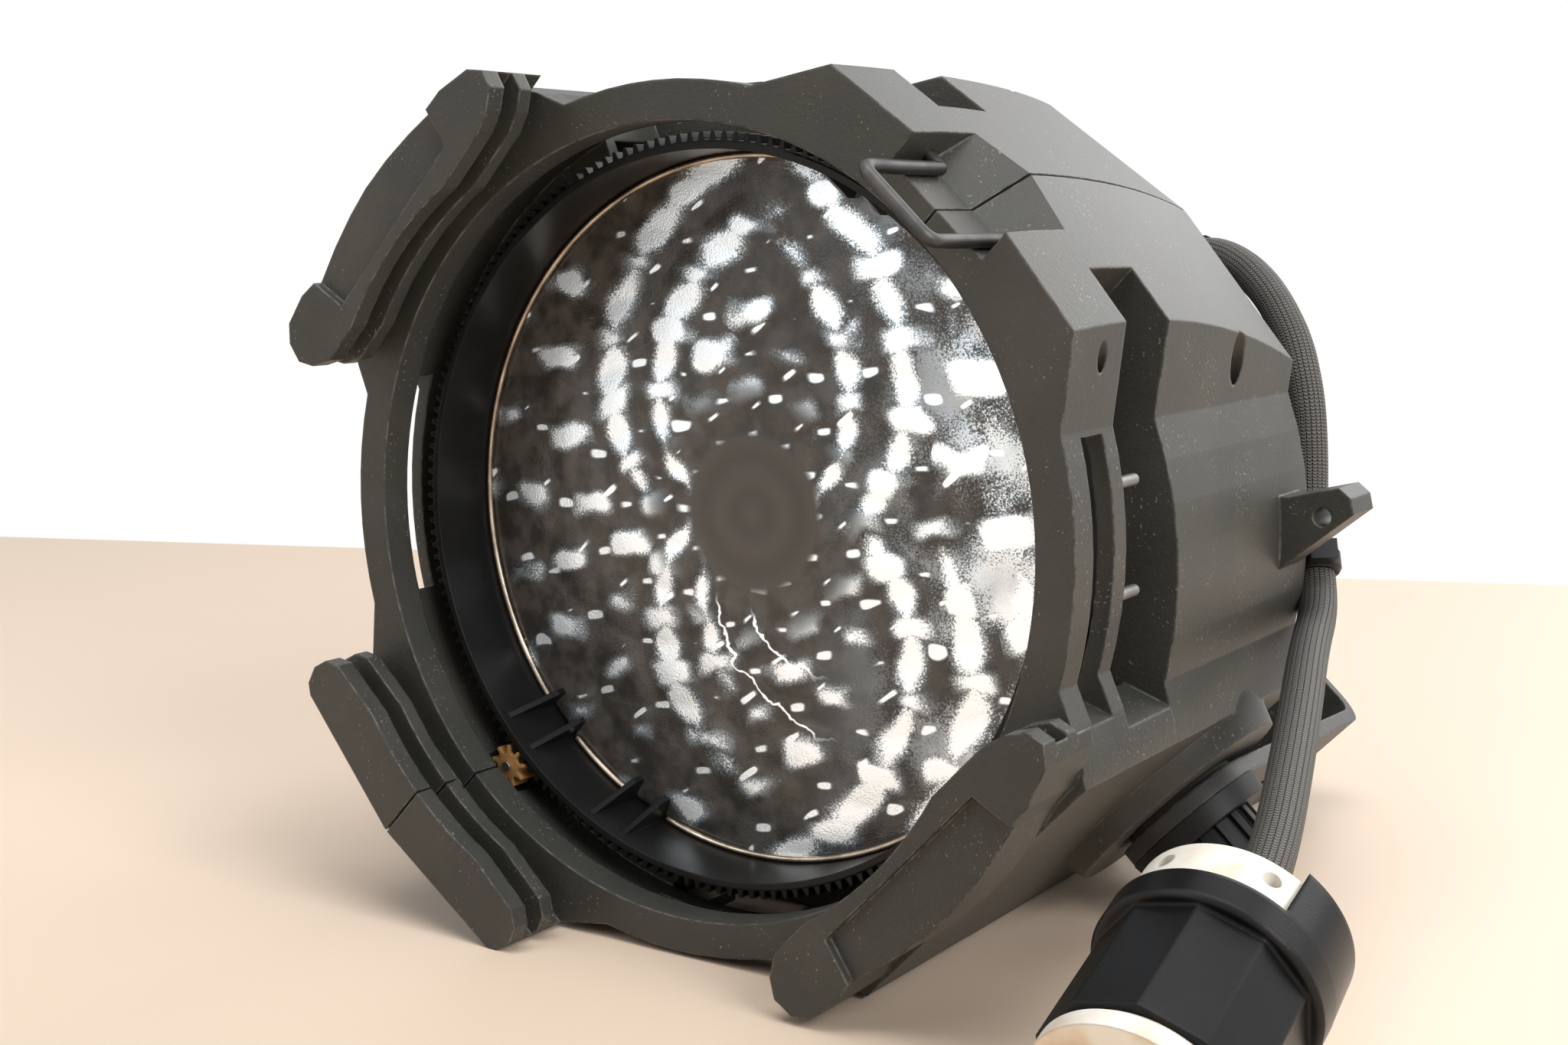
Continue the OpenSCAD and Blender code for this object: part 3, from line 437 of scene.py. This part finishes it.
def pressed_glass(name):
    glass = Finish(name, (0.9, 0.93, 0.95), 0.16, Transmission_Weight=0.2, IOR=1.45,
                   Coat_Weight=0.3, Coat_Roughness=0.10, Emission_Strength=UNLIT_GLOW)
    x, _, z = glass.axes(glass.place(1000.0))
    across, upward = x - LENS_AXIS.x / MM, z - LENS_AXIS.z / MM
    radius = (across * across + upward * upward) ** 0.5
    angle = upward.math("ARCTAN2", upward, across)
    grain = glass.noise(0.00045, 1.0)
    cloud = glass.noise(0.012, 2.0)
    turn = angle * (PILLOWS / math.tau) + 0.3 * (glass.noise(0.018, 1.0) - 0.5)
    reach = (radius + 3.0 * (glass.noise(0.02, 1.0) - 0.5)) * (0.5 / ROW)
    rise, fall = turn + reach, turn - reach
    across_rise, across_fall = rise.fract() - 0.5, fall.fract() - 0.5
    lit_side = across.between(10.0, 78.0)
    beyond = radius.between(PLAIN_R - 3.5, PLAIN_R - 1)
    quarter = (0.5 + 0.5 * (2.0 * (angle - math.radians(130))).cosine()).between(0.2, 0.75)

    def streak(rows, offset, middle, half, crossing, share):
        """A band along the rows near the middle one, beaded where other rows cross it."""
        near = (half - (rows - middle).absolute()).between(0.0, 0.5)
        beads = 0.9 + 0.25 * (crossing * math.tau).cosine()
        return (1.15 - 2.4 * offset.absolute()) * near * beads * share

    bands = streak(rise, across_rise, 7.0, 1.3, fall, quarter)
    bands = bands.above(streak(rise, across_rise, 2.4, 1.7, fall, quarter))
    bands = bands.above(streak(fall, across_fall, -6.0, 1.2, rise, 0.95 - 0.95 * quarter))
    bands = bands.above(streak(fall, across_fall, -1.0, 1.6, rise, 0.9 - 0.9 * quarter))
    ragged = 0.7 * (grain - 0.5)
    streaks = (bands + 0.5 * (cloud - 0.5) + 0.12 * lit_side + ragged).between(0.40, 1.0)

    def patch(shift_rise, shift_fall, length, width, degrees, vary, low, high):
        """Rounded bars that all lean one way, at one place in each pillow."""
        one = (across_rise + (0.5 + shift_rise)).fract() - 0.5
        two = (across_fall + (0.5 + shift_fall)).fract() - 0.5
        out, aside = (one - two) * ROW, (one + two) * radius * (math.pi / PILLOWS)
        turned = angle - math.radians(degrees)
        level = out * turned.cosine() - aside * turned.sine()
        plumb = out * turned.sine() + aside * turned.cosine()
        far = (level**4 * length**-4 + plumb**4 * width**-4) ** 0.25
        return (1.0 - far + vary).between(low, high)

    uneven = 2.4 * (glass.noise(0.012, 1.0) - 0.48) + 0.3 * lit_side
    soft = patch(0, 0, 6.4, 3.4, BAR_LEAN, uneven + ragged, 0.0, 0.85) * radius.between(24.0, 36.0)
    glint = patch(0.28, -0.1, 2.6, 0.8, GLINT_LEAN, 3.0 * (glass.noise(0.010, 1.0) - 0.56), 0.0, 0.5)
    spark = patch(0.5, 0.42, 2.7, 1.1, 8, 3.0 * (glass.noise(0.009, 0.0) - 0.56), 0.0, 0.5)

    def crease(rows, place, inner, outer):
        """A thin wandering line between two rows, from one radius to another."""
        wander = rows - place + 0.5 * (glass.noise(0.005, 2.0) - 0.5)
        return ((1.0 - 26.0 * wander.absolute()).between(0.0, 0.5)
                * radius.between(inner - 2, inner + 2) * (1.0 - radius.between(outer - 6, outer)))

    creases = crease(fall, -5.15, 24.0, 58.0).above(crease(fall, -4.3, 24.0, 44.0))
    wash = lit_side * (glass.noise(0.02, 2.0) + 0.4 * (grain - 0.5)).between(0.42, 0.60) * 0.8
    bright = streaks.above(soft).above(wash) * (1.15 + 0.9 * (cloud - 0.5))
    bright = bright.above(glint).above(spark).above(creases) * beyond

    # The dark ground, its mottle and the middle disc's rings are painted shade, and the bright parts
    # are painted reflections that also glow.
    mottle = glass.noise(0.006, 2.0)
    shade = glass.blend(mottle.between(0.3, 0.7), (0.050, 0.047, 0.042), (0.125, 0.116, 0.106))
    rings = (radius * (math.tau / MOULD_RING_PITCH)).cosine()
    plain = glass.blend(0.5 + 0.5 * rings, (0.085, 0.078, 0.071), (0.108, 0.100, 0.092))
    shade = glass.blend(beyond, plain, shade)
    lit = glass.blend(bright, (0.62, 0.80, 0.94), (0.87, 0.94, 1.0))
    glass.set("Base Color", glass.blend(bright, shade, lit))
    glass.set("Metallic", bright)
    glass.set("Emission Color", glass.blend(bright.between(0.5, 0.95), (0, 0, 0), (1, 1, 1)))
    glass.set("Roughness", 0.12 + 0.10 * grain + 0.12 * bright)
    glass.set("Normal", glass.bump(grain, 0.00010))
    return glass


GLASS = pressed_glass("pressed_glass")
finish_piece(make_lens(), "pressed_lens", "lens_ring", GLASS, "lens_glass", "lens_glass")

# %% The bulb's quartz
QUARTZ = Finish("quartz", (0.97, 0.98, 0.98), 0.0, 0.0, Transmission_Weight=1.0, IOR=1.1)
paint(QUARTZ, "lamp_bulb")

# %% [markdown]
# ## Reflector
#
# The reflector is a deep paraboloid, spun from bright aluminium and peened into rows of
# small pillows that follow spiral arms. Each pillow throws its own small image of the lamp.
# A profile is spun into a bowl, and each point then moves along the bowl's own slope by
# a height that is worked out from its radius and angle.

# %% Reflector bowl
FOCAL = 20.0
MOUTH_R = 83.0
THROAT_R = 20.0
MOUTH_Y = 43.78
BOWL_BACK = MOUTH_Y + MOUTH_R**2 / (4 * FOCAL)
RINGS = 96
SECTORS = 360


def pillow_height(radius, angle):
    """Height in millimetres of the peening at a radius and angle of the bowl."""
    along = (radius - THROAT_R) / (MOUTH_R - THROAT_R)
    swirl = angle + 1.9 * along
    arms = 0.55 * math.sin(7 * swirl) * min(1.0, 3 * along) * min(1.0, 4 * (1 - along))
    rows = abs(math.sin(math.pi * 11 * along))
    columns = abs(math.sin(21 * swirl + (math.pi / 2) * (int(11 * along) % 2)))
    return arms + 0.42 * rows * columns


def make_bowl():
    bm = bmesh.new()
    chain = []
    for i in range(RINGS + 1):
        radius = THROAT_R + (MOUTH_R - THROAT_R) * i / RINGS
        chain.append(bm.verts.new((radius * MM, (BOWL_BACK - radius**2 / (4 * FOCAL)) * MM, 0)))
    edges = [bm.edges.new(pair) for pair in zip(chain, chain[1:])]
    bmesh.ops.spin(bm, geom=chain + edges, cent=(0, 0, 0), axis=(0, 1, 0),
                   angle=math.tau, steps=SECTORS, use_merge=True)
    bmesh.ops.recalc_face_normals(bm, faces=bm.faces[:])
    for vert in bm.verts:
        radius = math.hypot(vert.co.x, vert.co.z) / MM
        angle = math.atan2(vert.co.z, vert.co.x)
        slope = Vector((-vert.co.x, -2 * FOCAL * MM, -vert.co.z)).normalized()
        vert.co += slope * pillow_height(radius, angle) * MM
    for face in bm.faces:
        face.smooth = True
    return bm


MIRROR = Finish("peened_aluminium", (0.90, 0.90, 0.92), 0.04, 1.0)
MIRROR.set("Roughness", 0.03 + 0.06 * MIRROR.noise(0.02, 2.0))
bowl = finish_piece(make_bowl(), "reflector_bowl", "barrel", MIRROR, "mirror_metal", "reflector")
wall = bowl.modifiers.new("wall", "SOLIDIFY")
wall.thickness = 1.0 * MM
wall.offset = -1.0

# %% [markdown]
# ## Lead
#
# The lead wears a braided sleeve. Its threads run in pairs that lean left and right, so
# that the sleeve reads as fine ribs of chevrons along the lead. A bevelled curve makes the
# tube. Its own UV map runs along and round the tube and carries the ribs, and its points
# are set an even step apart, so that the chevrons keep one size.

# %% The lead's route
LEAD_D = 0.0094
FLOOR_SHIFT = Vector((LENS_AXIS.x, LENS_AXIS.y, 0.0)) / MM
ROUTE = [
    (31.7, 171, 141.5), (34.7, 171, 145.5), (37.7, 170.9, 149.4), (41.6, 170.2, 152.8),
    (46.3, 168.8, 155.4), (51.8, 166.7, 157), (58.2, 163.6, 157.4), (65, 159.9, 156.1),
    (71.6, 156.1, 153), (77.9, 152.2, 148.5), (83.2, 148.7, 142.8), (87.4, 145.8, 137),
    (90.3, 143.4, 131), (92.5, 141.6, 124.6), (94, 140.4, 117.8), (94.9, 139.4, 110.8),
    (95.6, 138.5, 104), (96.3, 137.2, 97.4), (97.4, 136.1, 89.6), (99.3, 133.9, 81.5),
    (102.1, 129, 74.6), (105.2, 119.7, 69.9), (108.9, 106.1, 67.1), (113.8, 89.4, 64.6),
    (119.6, 70.6, 61.3), (125.4, 51.1, 56.9), (130.7, 32.3, 51.8), (135, 15.7, 46.6),
    (137.6, 2.2, 41.9), (138.6, -7.4, 38.25), (138.6, -13.5, 35.9), (138.6, -19.1, 33.8)]


def evenly(points, count):
    """Points an even step apart on one smooth curve through the given ones."""
    fine = []
    padded = [points[0] * 2 - points[1], *points, points[-1] * 2 - points[-2]]
    for before, start, end, after in zip(padded, padded[1:], padded[2:], padded[3:]):
        for i in range(24):
            t = i / 24
            fine.append(0.5 * (2 * start + (end - before) * t
                               + (2 * before - 5 * start + 4 * end - after) * t**2
                               + (3 * start - before - 3 * end + after) * t**3))
    fine.append(points[-1])
    travelled = [0.0]
    for one, two in zip(fine, fine[1:]):
        travelled.append(travelled[-1] + (two - one).length)
    result, k = [], 0
    for i in range(count):
        wanted = travelled[-1] * i / (count - 1)
        while k < len(fine) - 2 and travelled[k + 1] < wanted:
            k += 1
        share = (wanted - travelled[k]) / (travelled[k + 1] - travelled[k])
        result.append(fine[k].lerp(fine[k + 1], share))
    return result, travelled[-1]


route, lead_length = evenly([(Vector(point) + FLOOR_SHIFT) * MM for point in ROUTE], 40)
print("lead length", round(lead_length, 4))


# %% Braided sleeve
def braid(name, ribs=22, stitch=0.00085):
    sleeve = Finish(name, (0.05, 0.047, 0.043), 0.62)
    along, round_it, _ = sleeve.axes(sleeve.node("ShaderNodeUVMap"))
    side = ((round_it * float(ribs)).fract() - 0.5).absolute() * 2.0
    wave = (along * (lead_length / stitch) + side * 0.5).fract()
    # The thread crests are painted lighter, and the gaps between threads and the valleys between ribs
    # near black: painted light and shade of the weave, over a shallow bump.
    thread = ((wave - 0.5).absolute() * 2.0).between(0.1, 0.9)
    valley_dent_and_shade = side.between(0.72, 1.0)
    fuzz = sleeve.noise(0.0004, 2.0)
    tone = sleeve.blend(thread * (1.0 - valley_dent_and_shade), (0.012, 0.011, 0.010), (0.150, 0.142, 0.126))
    sleeve.set("Base Color", sleeve.blend(fuzz.between(0.5, 0.8) * 0.4, tone, (0.19, 0.18, 0.16)))
    sleeve.set("Normal", sleeve.bump(thread * 0.5 - valley_dent_and_shade + 0.2 * fuzz, 0.0004))
    return sleeve


SLEEVE = braid("braided_sleeve")


def make_tube(name, points, radii, finish):
    """A round bevelled curve through points, with its own radius at each."""
    curve = bpy.data.curves.new(name, "CURVE")
    curve.dimensions = "3D"
    spline = curve.splines.new("BEZIER")
    spline.bezier_points.add(len(points) - 1)
    for point, place, radius in zip(spline.bezier_points, points, radii):
        point.co = place
        point.radius = radius
        point.handle_left_type = point.handle_right_type = "AUTO"
    spline.resolution_u = 6
    curve.bevel_depth = 1.0
    curve.bevel_resolution = 6
    curve.use_fill_caps = True
    curve.materials.append(finish.material)
    tube = bpy.data.objects.new(name, curve)
    scene.collection.objects.link(tube)
    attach(tube, "barrel")
    return tube


def squeeze(i):
    """Radius of the sleeve, which spreads a little towards the plug."""
    share = i / (len(route) - 1)
    return LEAD_D / 2 * (0.98 + 0.05 * share)


lead = make_tube("braided_lead", route, [squeeze(i) for i in range(len(route))], SLEEVE)
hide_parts("cord")

# %% [markdown]
# Where the lead leaves the gland, a soft tapered boot keeps it from kinking. It is the same
# kind of curve, with the radius falling towards its tip, and rings pressed into it.

# %% Boot at the gland
BOOT_STEPS = 12
BOOT_WIDE, BOOT_TAPER, BOOT_GROOVE = 0.0074, 0.0020, 0.0005
boot_path, _ = evenly(route[:5], BOOT_STEPS + 1)
boot_radii = []
for i in range(BOOT_STEPS + 1):
    groove = BOOT_GROOVE if i % 2 else 0.0
    boot_radii.append(BOOT_WIDE - BOOT_TAPER * (i / BOOT_STEPS) - groove)
boot = make_tube("gland_boot", boot_path, boot_radii, TIE_BLACK)
print("boot length", round(sum((b - a).length for a, b in zip(boot_path, boot_path[1:])), 4))

# %% [markdown]
# ## Floor and light
#
# The floor is plain and pale, with its back edge not far behind the light and white beyond.
# The world is white wherever the camera, a mirror or the glass sees it, and dimmer as a
# source of light, so that the black paint keeps its depth. A wide lamp overhead gives the
# sheen on the roof, one behind lights the floor, one at the right shapes the flank, and a
# weak one in front fills the lens.


# %% Floor
BACK_EDGE = (Vector((-0.7156, 0.2237, 0.0)), Vector((0.0438, 0.5137, 0.0)))

FLOOR_PALE, FLOOR_DEEP = (0.88, 0.71, 0.56), (0.84, 0.67, 0.52)


def make_floor(half=1.7):
    ground = Finish("pale_floor", FLOOR_PALE, 0.5)
    ground.set("Base Color", ground.blend(ground.noise(0.25, 2.0), FLOOR_PALE, FLOOR_DEEP))
    run = (BACK_EDGE[1] - BACK_EDGE[0]).normalized()
    inward = Vector((run.y, -run.x, 0.0))
    middle = BACK_EDGE[1] + inward * half
    bm = bmesh.new()
    bmesh.ops.create_grid(bm, x_segments=1, y_segments=1, size=half)
    bm.transform(Matrix.Translation(middle) @ Matrix.Rotation(math.atan2(run.y, run.x), 4, "Z"))
    mesh = bpy.data.meshes.new("floor")
    bm.to_mesh(mesh)
    bm.free()
    mesh.materials.append(ground.material)
    floor = bpy.data.objects.new("floor", mesh)
    scene.collection.objects.link(floor)


make_floor()


# %% World
def make_world(glow):
    world = bpy.data.worlds.new("studio")
    world.use_nodes = True
    scene.world = world
    tree = world.node_tree
    tree.nodes.clear()
    output = tree.nodes.new("ShaderNodeOutputWorld")
    path = tree.nodes.new("ShaderNodeLightPath")
    seen = path.outputs["Is Camera Ray"]
    for ray in ("Is Glossy Ray", "Is Transmission Ray"):
        either = tree.nodes.new("ShaderNodeMath")
        either.operation = "MAXIMUM"
        tree.links.new(seen, either.inputs[0])
        tree.links.new(path.outputs[ray], either.inputs[1])
        seen = either.outputs[0]
    soft = tree.nodes.new("ShaderNodeBackground")
    soft.inputs["Strength"].default_value = glow
    white = tree.nodes.new("ShaderNodeBackground")
    white.inputs["Color"].default_value = (1, 1, 1, 1)
    mix = tree.nodes.new("ShaderNodeMixShader")
    tree.links.new(seen, mix.inputs[0])
    tree.links.new(soft.outputs[0], mix.inputs[1])
    tree.links.new(white.outputs[0], mix.inputs[2])
    tree.links.new(mix.outputs[0], output.inputs[0])


make_world(0.11)


# %% Lamps
def add_lamp(name, place, aim, size, power):
    data = bpy.data.lights.new(name, "AREA")
    data.shape = "RECTANGLE"
    data.size, data.size_y = size
    data.energy = power
    lamp = bpy.data.objects.new(name, data)
    lamp.location = place
    lamp.rotation_euler = (Vector(aim) - Vector(place)).to_track_quat("-Z", "Y").to_euler()
    scene.collection.objects.link(lamp)


CENTRE = (0.0, 0.0, 0.10)
add_lamp("overhead", (0.15, -0.3, 1.6), CENTRE, (1.4, 1.0), 17)
add_lamp("backdrop", (0.55, 1.5, 1.1), CENTRE, (2.0, 1.2), 20)
add_lamp("right", (1.4, -0.5, 0.9), CENTRE, (0.9, 0.9), 20)
add_lamp("front_left", (-0.7, -1.3, 1.0), CENTRE, (0.8, 0.8), 4.5)
scene.view_settings.view_transform = "Standard"
